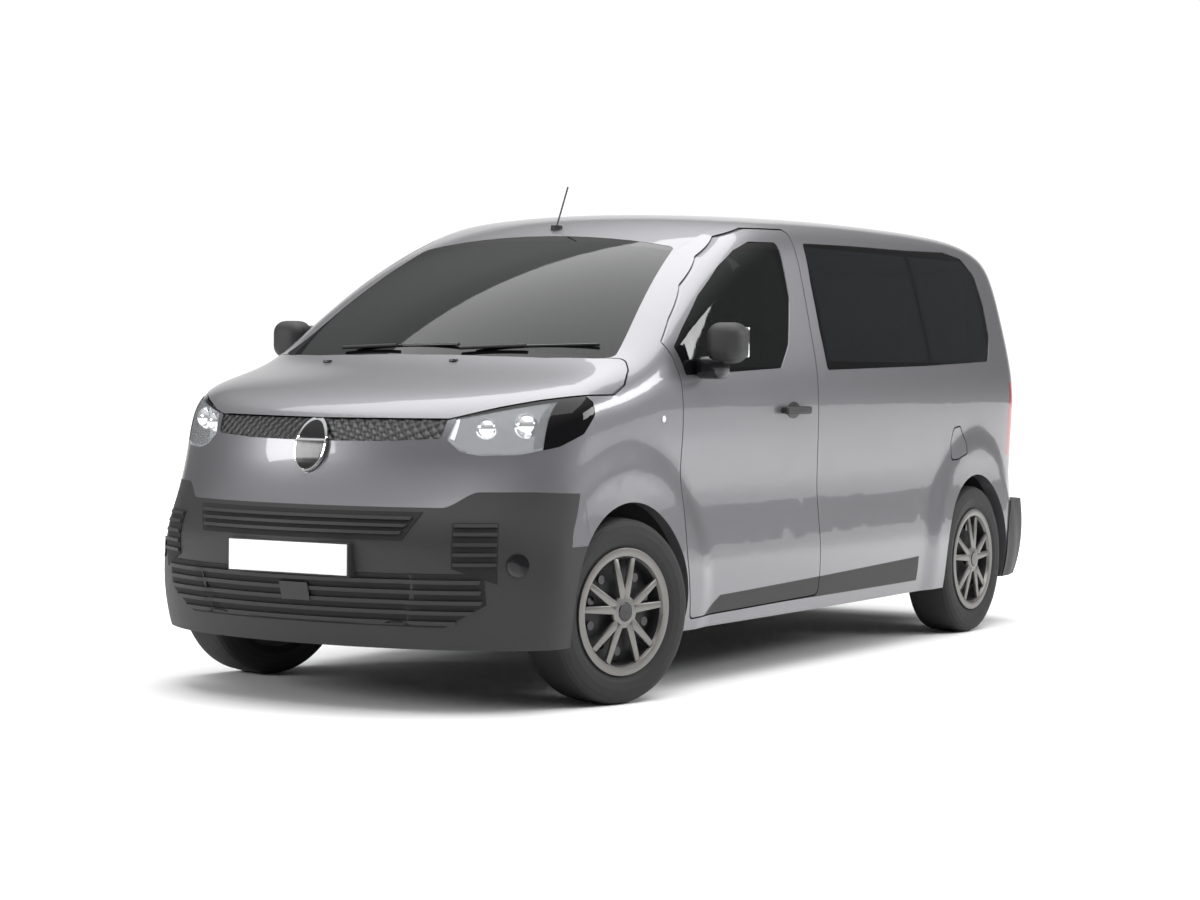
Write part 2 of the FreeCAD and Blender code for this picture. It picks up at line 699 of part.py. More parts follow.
# ---------------------------------------------------------------- doors
door_wall = slab(side_rays(-1330, 0, 44, 0, 18, 24), 0, -wall)
door = cut_all(door_wall.common(front_door_leaf), [door_glass_hole, roof_room])
pane = slab(side_rays(-1320, -120, 24, 0, 8, 12, 1000.0), -glass_inset, -glass_inset - glass)
pane = pane.common(door_glass_pane)
mirror_head = prism(
    [(926, 1262, 20), (1098, 1268, 60), (1104, 1400, 60), (1010, 1420, 60), (926, 1392, 40)],
    (Vector(1, 0, 0), Vector(0, 0, 1), Vector(0, 1, 0)), -1150, -1010,
)
mirror_stalk = box(906, 990, -1130, -1060, 1180, 1275)
mirror_pod = mirror_head.fuse(mirror_stalk).cut(door_wall)
mirror_pod = max(mirror_pod.Solids, key=lambda s: s.Volume)
parts["front_door_left"] = [door]
parts["front_door_right"] = [mirror(door)]
parts["front_door_glass_left"] = [pane]
parts["front_door_glass_right"] = [mirror(pane)]
parts["door_mirror_left"] = [mirror_pod]
parts["door_mirror_right"] = [mirror(mirror_pod)]

# ---------------------------------------------------------------- tail
tail = slab(tail_rays(), 0, -tailgate_wall).common(tailgate_leaf)
parts["tailgate"] = [tail.cut(tail_glass_hole)]
tail_pane = slab(tail_rays(), -glass_inset, -glass_inset - glass)
parts["tailgate_glass"] = [tail_pane.common(tail_glass_pane)]
parts["rear_bumper"] = [cut_all(
    slab(plan_fan(1850, 1, 190, 620, 14, 77, 44), 0, -95.0, rear_bumper_face).common(bumper_region),
    [below_sill],
)]
lamp_corner = slab(side_rays(1990, 2080, 2, 14), 0, -wall).common(tail_lamp_block)
parts["tail_lamps"] = both(lamp_corner.cut(tailgate_hole))

# ---------------------------------------------------------------- chassis and cabin
strut_radius = 26.0


def kingpin(z):
    """Point on the left steering axis at a height."""
    return (728 - 116 * (z - 200) / 680, front_axle_y, z)


floor = box(-cabin_half, cabin_half, -1330, 2330, floor_z, floor_z + 20)
wheel_room = box(640, 900, rear_axle_y - 440, rear_axle_y + 440, 200, 900)
front_room = box(505, 900, -1500, -1140, 200, 900)
floor = cut_all(floor, [
    wheel_room, mirror(wheel_room), front_room, mirror(front_room), parts["rear_bumper"][0],
])
house = rod((640, rear_axle_y, tyre_radius), (890, rear_axle_y, tyre_radius), 440)
house = house.cut(rod((652, rear_axle_y, tyre_radius), (900, rear_axle_y, tyre_radius), 425))
house = house.common(box(600, 900, 0, 3000, floor_z, 1200))
house = cut_all(house, [
    side_wall, parts["rear_bumper"][0], rod((600, rear_axle_y, tyre_radius), (700, rear_axle_y, tyre_radius), 40),
])
bulkhead = box(-840, 840, -1330, -1306, floor_z + 20, 1150)
bulkhead = cut_all(bulkhead, [front_room, mirror(front_room)])
rails = [box(400, 460, -2320, -1330, 420, 540), box(-460, -400, -2320, -1330, 420, 540)]
beam = box(-460, 460, -2338, -2320, 430, 530)
liner = rod((505, front_axle_y, tyre_radius), (890, front_axle_y, tyre_radius), 440)
liner = liner.cut(rod((513, front_axle_y, tyre_radius), (900, front_axle_y, tyre_radius), 428))
liner = liner.common(box(460, 900, -3000, -1139, tyre_radius, 1200))
tower = rod(kingpin(760), kingpin(886), 54).cut(rod(kingpin(700), kingpin(872), strut_radius + 8))
liner = liner.cut(rod(kingpin(700), kingpin(860), strut_radius + 8))
liner = liner.fuse(tower.cut(rod((480, front_axle_y, tyre_radius), (900, front_axle_y, tyre_radius), 428)))
liner = cut_all(liner, [wing, parts["front_bumper"][0], box(790, 900, -1226, -1100, 200, 1300)])
parts["floor_pan"] = [floor]
parts["rear_wheelhouses"] = both(house)
parts["bulkhead"] = [bulkhead]
parts["front_rails"] = [beam.fuse(rails)]
parts["front_liners"] = both(liner)
parts["engine_block"] = [box(-380, 380, -2080, -1480, 290, 880)]
parts["front_subframe"] = [
    box(-460, 460, -1900, -1440, 240, 290).fuse([
        *both(box(400, 460, -1640, -1530, 240, 420)),
        *both(box(380, 667, front_axle_y - 30, front_axle_y + 30, 218, 245)),
    ]),
]
parts["radiator"] = [box(-340, 340, -2320, -2280, 330, 780)]
parts["dashboard"] = [prism(
    [(-1306, 700, 0), (-1306, 1130, 0), (-1230, 1165, 60), (-980, 1120, 60), (-900, 1010, 40),
     (-930, 760, 40), (-1100, 700, 40)],
    (Vector(0, 1, 0), Vector(0, 0, 1), Vector(1, 0, 0)), -800, 800,
)]


def seat(x, y, width, base_z):
    """Cushion, back and head restraint on a plinth, facing the nose."""
    low, high = x - width / 2, x + width / 2
    cushion = prism([(y, base_z + 205, 30), (y + 500, base_z + 205, 60), (y + 500, base_z + 300, 60),
                     (y, base_z + 330, 50)], side_view, low, high)
    back = prism([(y + 380, base_z + 290, 40), (y + 500, base_z + 290, 40), (y + 700, base_z + 880, 50),
                  (y + 600, base_z + 900, 50)], side_view, low, high)
    head = prism([(y + 625, base_z + 915, 30), (y + 715, base_z + 895, 30), (y + 745, base_z + 1060, 30),
                  (y + 665, base_z + 1075, 30)], side_view, x - 130, x + 130)
    plinth = box(low + 60, high - 60, y + 60, y + 460, base_z, base_z + 220)
    posts = [rod((x + d, y + 635, base_z + 860), (x + d, y + 675, base_z + 960), 7) for d in (-60, 60)]
    return [cushion.fuse([back, head, plinth] + posts)]


seat_floor = floor_z + 20
parts["driver_seat"] = seat(370, -760, 500, seat_floor)
parts["passenger_seat"] = seat(-370, -760, 500, seat_floor)
parts["second_row_seats"] = seat(500, 250, 430, seat_floor) + seat(0, 250, 430, seat_floor)
parts["second_row_seats"] += seat(-500, 250, 430, seat_floor)
parts["third_row_seats"] = seat(300, 1180, 430, seat_floor) + seat(-300, 1180, 430, seat_floor)
parts["fuel_tank"] = [box(-560, 300, 350, 1050, 220, 330)]
parts["exhaust"] = [
    rod((470, -1420, floor_z - 25.3), (470, 2360, floor_z - 25.3), 25).fuse(
        rod((470, 500, floor_z - 66.3), (470, 1100, floor_z - 66.3), 60)
    ),
]
axle = [rod((-650, rear_axle_y - 120, 240), (650, rear_axle_y - 120, 240), 30)]


def ring(points, y, x):
    """Solid of revolution about the wheel axis from (radius, x) points."""
    wire = Part.makePolygon([Vector(px, 0, r) for r, px in points + points[:1]])
    solid = Part.Face(wire).revolve(Vector(0, 0, 0), Vector(1, 0, 0), 360)
    solid.translate(Vector(x, y, tyre_radius))
    return solid


tyre_half = tyre_width / 2
tyre_side = [
    (206, 84), (218, 87), (236, 90), (262, tyre_half - 4.5), (290, tyre_half),
    (tyre_radius - 27, tyre_half - 3.5), (tyre_radius - 11, tyre_half - 12.5),
    (tyre_radius - 3, tyre_half - 27.5), (tyre_radius - 0.5, 50),
]
tyre_points = [(r, -x) for r, x in tyre_side] + [(tyre_radius, 0)]
tyre_points += [(r, x) for r, x in reversed(tyre_side)]
rim_points = [
    (206, -84), (218, -87), (233, -89.7), (233, -97), (214, -96), (196, -90), (190, -60), (190, 60),
    (196, 90), (214, 96), (233, 97), (233, 89.7), (218, 87), (206, 84),
]
disc_points = [(0, 30), (60, 30), (80, 40), (191, 36), (191, 44), (84, 50), (60, 62), (0, 62)]
cover_points = [
    (0, 92), (70, 92), (150, 88), (215, 96.5), (236, 97.5), (238, 101), (220, 106), (150, 97),
    (70, 104), (0, 107),
]


def wheel(track, y):
    x = track / 2
    tyre = ring(tyre_points, y, x)
    rim = ring(rim_points, y, x).fuse(ring(disc_points, y, x))
    cover = ring(cover_points, y, x)
    return tyre, rim, cover


def steered(shape, centre, axis, angle):
    copy = shape.copy()
    copy.rotate(centre, axis, angle)
    return copy


steer_rest = -15.0
steer_low = kingpin(200)
steer_high = kingpin(880)
for side, sign in (("left", 1), ("right", -1)):
    low = Vector(sign * steer_low[0], steer_low[1], steer_low[2])
    high = Vector(sign * steer_high[0], steer_high[1], steer_high[2])
    axis = high - low
    tyre, rim, cover = wheel(front_track, front_axle_y)
    knuckle = [
        box(690, 790, front_axle_y - 40, front_axle_y + 40, 215, 430),
        rod(kingpin(330), kingpin(862), strut_radius),
        rod((760, front_axle_y, tyre_radius), (839, front_axle_y, tyre_radius), 32),
    ]
    pieces = {"tyre": [tyre], "wheel": [rim, cover]}
    knuckle = [knuckle[0].fuse(knuckle[1:])]
    pieces["knuckle"] = knuckle
    for name, solids in pieces.items():
        solids = solids if sign > 0 else [mirror(s) for s in solids]
        solids = [steered(s, low, axis, steer_rest) for s in solids]
        key = "steering_knuckle_" + side if name == "knuckle" else "front_" + side + "_" + name
        parts[key] = solids
    tyre, rim, cover = wheel(rear_track, rear_axle_y)
    parts["rear_" + side + "_tyre"] = [tyre if sign > 0 else mirror(tyre)]
    parts["rear_" + side + "_wheel"] = [rim, cover] if sign > 0 else [mirror(rim), mirror(cover)]
    stub = rod((640, rear_axle_y, tyre_radius), (832, rear_axle_y, tyre_radius), 30)
    arm = [
        box(600, 636, rear_axle_y - 520, rear_axle_y - 100, 215, 270),
        box(600, 636, rear_axle_y - 520, rear_axle_y - 450, 260, floor_z),
        box(600, 660, rear_axle_y - 160, rear_axle_y + 40, 215, floor_z - 4),
    ]
    axle += [s if sign > 0 else mirror(s) for s in [stub.fuse(arm)]]

parts["rear_axle"] = [axle[0].fuse(axle[1:])]

wheel_tilt = math.radians(28)
column_axis = Vector(0, math.cos(wheel_tilt), math.sin(wheel_tilt))
hub = Vector(370, -700, 1020)
hand_rim = Part.makeTorus(185, 15, hub, column_axis)
across = Vector(0, -math.sin(wheel_tilt), math.cos(wheel_tilt))
spokes = [
    rod(hub - column_axis * 14, hub + column_axis * 22, 62),
    rod(hub, hub + Vector(183, 0, 0), 13), rod(hub, hub - Vector(183, 0, 0), 13),
    rod(hub, hub - across * 183, 13), rod(hub - column_axis * 360, hub, 20),
]
parts["steering_wheel"] = [hand_rim.fuse(spokes)]
parts["dashboard"] = [parts["dashboard"][0].cut(rod(hub - column_axis * 400, hub, 26))]
mast_foot = pierce((0, -650, 1500), (0, 0, 1), 0, body_face)
mast_base = rod(mast_foot - Vector(0, 0, 20), mast_foot + Vector(0, 0, 14), 24).cut(parts["roof_panel"][0])
mast_base = max(mast_base.Solids, key=lambda s: s.CenterOfMass.z)
parts["roof_antenna"] = [mast_base.fuse(rod(mast_foot + Vector(0, 0, 8), (0, -562, 1986), 3.5))]

os.makedirs("parts", exist_ok=True)
for name in sorted(parts):
    solids = []
    for shape in parts[name]:
        solids += shape.Solids
    Part.makeCompound(solids).exportStep("parts/" + name + ".step")
    good = all(s.isValid() for s in solids)
    bounds = Part.makeCompound(solids).BoundBox
    print(name, len(solids), "valid" if good else "INVALID", [
        round(v) for v in (bounds.XMin, bounds.XMax, bounds.YMin, bounds.YMax, bounds.ZMin, bounds.ZMax)
    ], round(sum(s.Volume for s in solids) / 1e6, 2))
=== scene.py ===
import bpy
import math
from mathutils import Matrix, Vector


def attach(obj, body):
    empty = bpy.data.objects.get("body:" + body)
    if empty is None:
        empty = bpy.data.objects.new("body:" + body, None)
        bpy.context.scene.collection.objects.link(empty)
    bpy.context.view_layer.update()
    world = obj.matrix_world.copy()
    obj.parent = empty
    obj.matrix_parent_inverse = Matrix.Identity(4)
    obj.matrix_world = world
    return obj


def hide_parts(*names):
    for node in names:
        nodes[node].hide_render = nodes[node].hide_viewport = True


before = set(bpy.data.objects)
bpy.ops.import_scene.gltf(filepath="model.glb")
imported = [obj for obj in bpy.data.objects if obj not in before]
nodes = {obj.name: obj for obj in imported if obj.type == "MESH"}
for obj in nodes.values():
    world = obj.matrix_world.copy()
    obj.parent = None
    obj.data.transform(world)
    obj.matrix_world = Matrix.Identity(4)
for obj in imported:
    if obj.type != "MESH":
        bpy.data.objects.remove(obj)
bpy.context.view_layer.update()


# Shader graphs: a wire is one output socket, and maths on wires adds Math nodes.
class Wire:
    def __init__(self, graph, socket):
        self.graph = graph
        self.socket = socket

    def maths(self, operation, other=0.0, swap=False):
        pair = (other, self) if swap else (self, other)
        return self.graph.node("ShaderNodeMath", {"operation": operation}, pair)

    def __add__(self, other):
        return self.maths("ADD", other)

    def __radd__(self, other):
        return self.maths("ADD", other, True)

    def __sub__(self, other):
        return self.maths("SUBTRACT", other)

    def __rsub__(self, other):
        return self.maths("SUBTRACT", other, True)

    def __mul__(self, other):
        return self.maths("MULTIPLY", other)

    def __rmul__(self, other):
        return self.maths("MULTIPLY", other, True)

    def __truediv__(self, other):
        return self.maths("DIVIDE", other)

    def above(self, other):
        return self.maths("GREATER_THAN", other)

    def below(self, other):
        return self.maths("LESS_THAN", other)

    def least(self, other):
        return self.maths("MINIMUM", other)

    def most(self, other):
        return self.maths("MAXIMUM", other)

    def size(self):
        return self.maths("ABSOLUTE")

    def wave(self):
        return self.maths("SINE")

    def root(self):
        return self.maths("SQRT")


class Graph:
    def __init__(self, name):
        self.material = bpy.data.materials.new(name)
        self.material.use_nodes = True
        self.tree = self.material.node_tree
        self.shader = self.tree.nodes["Principled BSDF"]
        self.place = None

    def node(self, kind, settings=None, inputs=(), output=0):
        made = self.tree.nodes.new(kind)
        for key, value in (settings or {}).items():
            setattr(made, key, value)
        pairs = inputs.items() if isinstance(inputs, dict) else enumerate(inputs)
        for key, value in pairs:
            if isinstance(value, Wire):
                self.tree.links.new(value.socket, made.inputs[key])
            else:
                made.inputs[key].default_value = value
        return Wire(self, made.outputs[output])

    def set(self, **values):
        for key, value in values.items():
            socket = self.shader.inputs[key.replace("_", " ")]
            if isinstance(value, Wire):
                self.tree.links.new(value.socket, socket)
            else:
                socket.default_value = value
        return self

    # Object coordinates as (vector, x, y, z).
    def spot(self):
        if not self.place:
            vector = self.node("ShaderNodeTexCoord", output="Object")
            parts = [self.node("ShaderNodeSeparateXYZ", None, (vector,), i) for i in range(3)]
            self.place = [vector] + parts
        return self.place

    def noise(self, scale, detail=2.0):
        values = {"Vector": self.spot()[0], "Scale": scale, "Detail": detail}
        return self.node("ShaderNodeTexNoise", None, values)

    def blend(self, factor, first, second):
        mix = self.node("ShaderNodeMix", {"data_type": "RGBA"}, {0: factor, 6: first, 7: second}, 2)
        return mix

    def bump(self, height, strength, distance):
        values = {"Height": height, "Strength": strength, "Distance": distance}
        return self.node("ShaderNodeBump", None, values, "Normal")


paintLook = {"tone": (0.175, 0.172, 0.184, 1), "metal": 0.75, "rough": 0.38, "coat": 0.6}
plasticLook = {"tone": (0.011, 0.011, 0.0115, 1), "rough": 0.58, "grain": 900.0}


def paintBase(graph):
    flakes = graph.noise(2600.0, 1.0)
    graph.set(Metallic=paintLook["metal"], Roughness=paintLook["rough"] + 0.05 * flakes)
    graph.set(Coat_Weight=paintLook["coat"], Coat_Roughness=0.03)
    return graph


def paint(name="bodyPaint"):
    graph = paintBase(Graph(name))
    return graph.set(Base_Color=paintLook["tone"]).material


def plastic(name="darkPlastic", tone=plasticLook["tone"], rough=plasticLook["rough"]):
    graph = Graph(name)
    grain = graph.noise(plasticLook["grain"])
    graph.set(Base_Color=tone, Roughness=rough + 0.12 * (grain - 0.5))
    return graph.set(Normal=graph.bump(grain, 0.25, 0.0006)).material


def shine(name, tone, rough, metal=0.0):
    graph = Graph(name)
    return graph.set(Base_Color=tone, Roughness=rough + 0.04 * graph.noise(60.0), Metallic=metal).material


# Tinted glass, with a printed black border where the mask is 1.
def glazing(name, tone, alpha, border=None):
    graph = Graph(name)
    smear = graph.noise(4.0)
    graph.set(Base_Color=tone, Roughness=0.02 + 0.03 * smear, Alpha=alpha, Specular_IOR_Level=0.22)
    if border:
        mask = border(graph)
        graph.set(Base_Color=graph.blend(mask, tone, (0.004, 0.004, 0.0045, 1)))
        graph.set(Alpha=alpha + (1 - alpha) * mask)
    return graph.material


def screenBorder(graph):
    x, z = graph.spot()[1].size(), graph.spot()[3]
    foot = z.below(1.318 - x * x * 0.10)
    sides = x.above(0.790 - (z - 1.30) * 0.36)
    return foot.most(sides).most(z.above(1.752 - x * x * 0.12))


def doorBorder(graph):
    y, z = graph.spot()[2], graph.spot()[3]
    foot = (z - 1.236).below(0.012)
    corner = y.below(-1.075) * z.below(1.46)
    edge = foot.most(corner).most(y.above(-0.232 - (z - 1.50) * 0.05))
    return edge.most(z.above(1.722 + y * 0.02) * y.above(-0.65))


def sideBorder(graph):
    y, z = graph.spot()[2], graph.spot()[3]
    divider = (y - 1.128 + (z - 1.5) * 0.06).size().below(0.018)
    ends = y.below(0.045).most(y.above(1.905)).most(divider)
    return ends.most(z.below(1.272)).most(z.above(1.752))


def tailBorder(graph):
    x, z = graph.spot()[1].size(), graph.spot()[3]
    return z.below(1.285).most(z.above(1.70)).most(x.above(0.575 - (z - 1.5) * 0.10))


def lampBorder(graph):
    x, z = graph.spot()[1].size(), graph.spot()[3]
    return x.above(0.800).most(z.above(1.052 + (x - 0.52) * 0.235))


def rubber():
    graph = Graph("tyreRubber")
    dust = graph.noise(30.0, 4.0)
    graph.set(Base_Color=graph.blend(dust, (0.006, 0.006, 0.006, 1), (0.013, 0.013, 0.013, 1)))
    return graph.set(Roughness=0.62 + 0.2 * dust).material


# Body paint with dark plastic where the mask is 1.
def masked(name, mask):
    graph = Graph(name)
    cover = mask(graph)
    grain = graph.noise(plasticLook["grain"])
    graph.set(Base_Color=graph.blend(cover, paintLook["tone"], plasticLook["tone"]))
    graph.set(Metallic=(1 - cover) * paintLook["metal"])
    graph.set(Roughness=paintLook["rough"] + cover * (plasticLook["rough"] - paintLook["rough"]))
    graph.set(Coat_Weight=(1 - cover) * paintLook["coat"], Coat_Roughness=0.03)
    return graph.set(Normal=graph.bump(grain * cover, 0.25, 0.0006)).material


# Dark below the painted chin, and up the outer corners.
def bumperMask(graph):
    x, z = graph.spot()[1].size(), graph.spot()[3]
    rise = ((x - 0.545) / 0.105).most(0.0).least(1.0)
    edge = 0.742 + 0.056 * rise * rise * (3 - 2 * rise) - 0.10 * (x - 0.80).most(0.0)
    painted = x.above(0.893 - (z - 0.60) * 0.06) * z.above(0.600)
    return z.below(edge) * (1 - painted)


# Dark grille band with raised diagonal strips.
def lattice():
    graph = Graph("grilleLattice")
    x, z = graph.spot()[1], graph.spot()[3]
    rising = (x.size() * 190.0 + z * 170.0).wave() * 0.5 + 0.5
    strips = rising * ((x.size() * 95.0 - z * 210.0).wave() * 0.35 + 0.65)
    # Raised strips get a lighter colour and the grooves a darker one: painted highlight and painted shade on
    # top of the bumped relief.
    graph.set(Base_Color=graph.blend(strips, (0.004, 0.004, 0.004, 1), (0.05, 0.05, 0.053, 1)))
    graph.set(Roughness=0.35 + 0.1 * strips)
    return graph.set(Normal=graph.bump(strips, 0.9, 0.008)).material


def doorMask(graph):
    y, z = graph.spot()[2], graph.spot()[3]
    return z.below(0.355 + (y + 0.891) * 0.023) * z.below(0.276 + (y + 1.045) * 0.55)


def rearMask(graph):
    y, z = graph.spot()[2], graph.spot()[3]
    return z.below(0.375 + y * 0.024) * z.above(0.289) * y.below(1.0)


bodyPaint = paint()
darkPlastic = plastic()
cabinPlastic = plastic("cabinPlastic", (0.03, 0.03, 0.033, 1), 0.7)
glossBlack = shine("glossBlack", (0.006, 0.006, 0.007, 1), 0.12)
# Near-black matte sheet laid over the slot and intake openings: painted shade standing in for the dark inside
# of the openings.
intakeShadeBlack = shine("intakeShadeBlack", (0.002, 0.002, 0.002, 1), 0.8)
chrome = shine("chrome", (0.75, 0.76, 0.77, 1), 0.06, 1.0)
steel = shine("darkSteel", (0.014, 0.014, 0.015, 1), 0.5, 0.3)
castMetal = shine("castMetal", (0.30, 0.31, 0.32, 1), 0.55, 0.7)
coverMetal = shine("coverMetal", (0.19, 0.185, 0.176, 1), 0.36, 0.8)
plateWhite = shine("plateWhite", (0.82, 0.82, 0.81, 1), 0.35)
cloth = plastic("seatCloth", (0.05, 0.05, 0.056, 1), 0.9)
carpet = plastic("carpet", (0.02, 0.02, 0.022, 1), 0.95)
screenGlass = glazing("screenGlass", (0.008, 0.009, 0.009, 1), 0.86, screenBorder)
doorGlass = glazing("doorGlass", (0.008, 0.009, 0.009, 1), 0.86, doorBorder)
privacyGlass = glazing("privacyGlass", (0.012, 0.013, 0.014, 1), 0.80, sideBorder)
tailGlass = glazing("tailGlass", (0.012, 0.013, 0.014, 1), 0.85, tailBorder)
clearLens = glazing("clearLens", (0.9, 0.92, 0.95, 1), 0.10, lampBorder)
redLens = shine("redLens", (0.30, 0.008, 0.008, 1), 0.1)
tyreRubber = rubber()
bumperPaint = masked("bumperPaint", bumperMask)
doorPaint = masked("doorPaint", doorMask)
sidePaint = masked("sidePaint", rearMask)

finishes = {
    "body_side_left": sidePaint, "body_side_right": sidePaint, "sliding_door_right": sidePaint,
    "front_door_left": doorPaint, "front_door_right": doorPaint, "front_bumper": bumperPaint,
    "roof_panel": bodyPaint, "bonnet": bodyPaint, "front_wings": bodyPaint, "tailgate": bodyPaint,
    "windscreen": screenGlass, "front_door_glass_left": doorGlass, "front_door_glass_right": doorGlass,
    "side_glass_left": privacyGlass, "side_glass_right": privacyGlass, "tailgate_glass": tailGlass,
    "upper_grille": lattice(), "fuel_flap": bodyPaint,
    "headlamp_lenses": clearLens, "headlamp_bodies": chrome, "tail_lamps": redLens,
    "dashboard": cabinPlastic, "steering_wheel": cabinPlastic, "floor_pan": carpet,
    "engine_block": castMetal, "exhaust": castMetal,
}
for name, node in nodes.items():
    look = finishes.get(name, darkPlastic)
    if name.endswith("tyre"):
        look = tyreRubber
    elif name.endswith("wheel") and name != "steering_wheel":
        look = coverMetal
    elif "seat" in name:
        look = cloth
    elif name in ("bulkhead", "front_rails", "front_subframe", "rear_axle") or "knuckle" in name:
        look = steel
    node.data.materials.clear()
    node.data.materials.append(look)
print("materials done")

def pick(piece):
    bpy.ops.object.select_all(action="DESELECT")
    piece.select_set(True)
    bpy.context.view_layer.objects.active = piece


# Settle a piece's place into its mesh, then name, paint and hang it on its body.
def finishPiece(piece, name, look, body, angle=35):
    pick(piece)
    bpy.ops.object.transform_apply(location=True, rotation=True, scale=True)
    bpy.ops.object.shade_smooth_by_angle(angle=math.radians(angle))
    piece.name = name
    piece.data.materials.clear()
    piece.data.materials.append(look)
    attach(piece, body)
    return piece


def useModifier(piece, kind, **values):
    pick(piece)
    modifier = piece.modifiers.new(kind, kind)
    for key, value in values.items():
        setattr(modifier, key, value)
    bpy.ops.object.modifier_apply(modifier=modifier.name)


# Across, up and out for a sight line turned from the nose towards the left side.
def viewAxes(turn):
    angle = math.radians(turn)
    across = Vector((math.cos(angle), math.sin(angle), 0))
    out = Vector((math.sin(angle), -math.cos(angle), 0))
    return across, Vector((0, 0, 1)), out


def oval(centre, radii, count=28):
    steps = [2 * math.pi * i / count for i in range(count)]
    return [(centre[0] + radii[0] * math.cos(a), centre[1] + radii[1] * math.sin(a)) for a in steps]


def bandOutline(left, right, middle, height, taper=0.0):
    low, high = middle - height / 2, middle + height / 2
    return [(left + taper, low), (right - taper, low), (right, high), (left, high)]


# A convex plate laid on the hosts, seen along a sight line.
def patch(name, outline, turn, hosts, look, body, lift=0.0015, thick=0.005, cells=(48, 10)):
    across, up, out = viewAxes(turn)
    us, vs = [p[0] for p in outline], [p[1] for p in outline]
    centre = across * (min(us) + max(us)) / 2 + up * (min(vs) + max(vs)) / 2 + out * 3.2
    bpy.ops.object.select_all(action="DESELECT")
    bpy.ops.mesh.primitive_grid_add(
        x_subdivisions=cells[0], y_subdivisions=cells[1], size=1.0, location=centre,
        rotation=Matrix((across, up, out)).transposed().to_euler(),
    )
    piece = bpy.context.object
    piece.scale = ((max(us) - min(us)) * 1.02, (max(vs) - min(vs)) * 1.02, 1)
    bpy.ops.object.transform_apply(location=False, rotation=False, scale=True)
    bpy.ops.object.mode_set(mode="EDIT")
    for (u0, v0), (u1, v1) in zip(outline, outline[1:] + outline[:1]):
        bpy.ops.mesh.select_all(action="SELECT")
        spot = across * u0 + up * v0
        normal = across * (v1 - v0) - up * (u1 - u0)
        bpy.ops.mesh.bisect(plane_co=spot, plane_no=normal.normalized(), clear_outer=True)
    bpy.ops.object.mode_set(mode="OBJECT")
    wrap = dict(wrap_method="PROJECT", use_project_z=True, use_negative_direction=True)
    wrap.update(use_positive_direction=False, target=hosts[0], offset=lift)
    if len(hosts) > 1:
        wrap["auxiliary_target"] = hosts[1]
    useModifier(piece, "SHRINKWRAP", **wrap)
    landed = [v.co.copy() for v in piece.data.vertices if v.co.z < -0.3]
    for vertex in piece.data.vertices:
        if vertex.co.z >= -0.3:     # over a gap between hosts
            nearest = min(landed, key=lambda c: (c.xy - vertex.co.xy).length_squared)
            vertex.co.z = nearest.z
    useModifier(piece, "SOLIDIFY", thickness=thick, offset=1.0)
    return finishPiece(piece, name, look, body)


# A box with rounded edges between two corners.
def roundBox(name, low, high, radius, look, body, segments=4):
    centre = [(a + b) / 2 for a, b in zip(low, high)]
    bpy.ops.object.select_all(action="DESELECT")
    bpy.ops.mesh.primitive_cube_add(size=1.0, location=centre)
    piece = bpy.context.object
    piece.scale = [b - a for a, b in zip(low, high)]
    bpy.ops.object.transform_apply(location=False, rotation=False, scale=True)
    useModifier(piece, "BEVEL", width=radius, segments=segments, limit_method="NONE")
    return finishPiece(piece, name, look, body)


# A round bar between two points.
def bar(name, start, end, radius, look, body, sides=14):
    start, end = Vector(start), Vector(end)
    way = end - start
    bpy.ops.object.select_all(action="DESELECT")
    bpy.ops.mesh.primitive_cylinder_add(
        vertices=sides, radius=radius, depth=way.length, location=(start + end) / 2,
        rotation=way.to_track_quat("Z", "Y").to_euler(),
    )
    return finishPiece(bpy.context.object, name, look, body)


# Where a sight line meets a CAD node.
def touch(host, start, way):
    local = host.matrix_world.inverted()
    found, spot, normal, face = host.ray_cast(local @ Vector(start), local.to_3x3() @ Vector(way))
    return host.matrix_world @ spot if found else Vector(start)


def join(pieces, name):
    pick(pieces[0])
    for piece in pieces:
        piece.select_set(True)
    bpy.ops.object.join()
    bpy.context.object.name = name
    return bpy.context.object


nose, lowGrille = nodes["front_bumper"], nodes["lower_grille"]
noseHosts = (nose, lowGrille)

# Nose: slots, slats, number plate, badge.
noseLook = {
    "slatHeight": 0.011, "slatLift": 0.009, "plate": (0.52, 0.11), "plateHeight": 0.554,
    "badge": (0.068, 0.096), "badgeHeight": 0.952, "shadeSheet": (0.001, 0.002),
}
# The upper slot, lower intake and side intakes are thin near-black sheets on the bumper: painted shade in the
# openings, behind the raised slats.
shadeSheetLift, shadeSheetThick = noseLook["shadeSheet"]
upperSlot = [(-0.44, 0.628), (0.44, 0.628), (0.49, 0.726), (-0.49, 0.726)]
lowerIntake = [(-0.56, 0.318), (0.56, 0.318), (0.70, 0.40), (0.70, 0.51), (-0.70, 0.51), (-0.70, 0.40)]
patch("upperSlot", upperSlot, 0, noseHosts, intakeShadeBlack, "body_shell", shadeSheetLift, shadeSheetThick)
for i, height in enumerate((0.652, 0.677, 0.702)):
    wide = 0.425 + (height - 0.628) * 0.5
    outline = bandOutline(-wide, wide, height, noseLook["slatHeight"], 0.006)
    lift = noseLook["slatLift"]
    patch("upperSlat%d" % (i + 1), outline, 0, noseHosts, darkPlastic, "body_shell", 0.002, lift, (40, 2))
patch("lowerIntake", lowerIntake, 0, noseHosts, intakeShadeBlack, "body_shell", shadeSheetLift, shadeSheetThick)
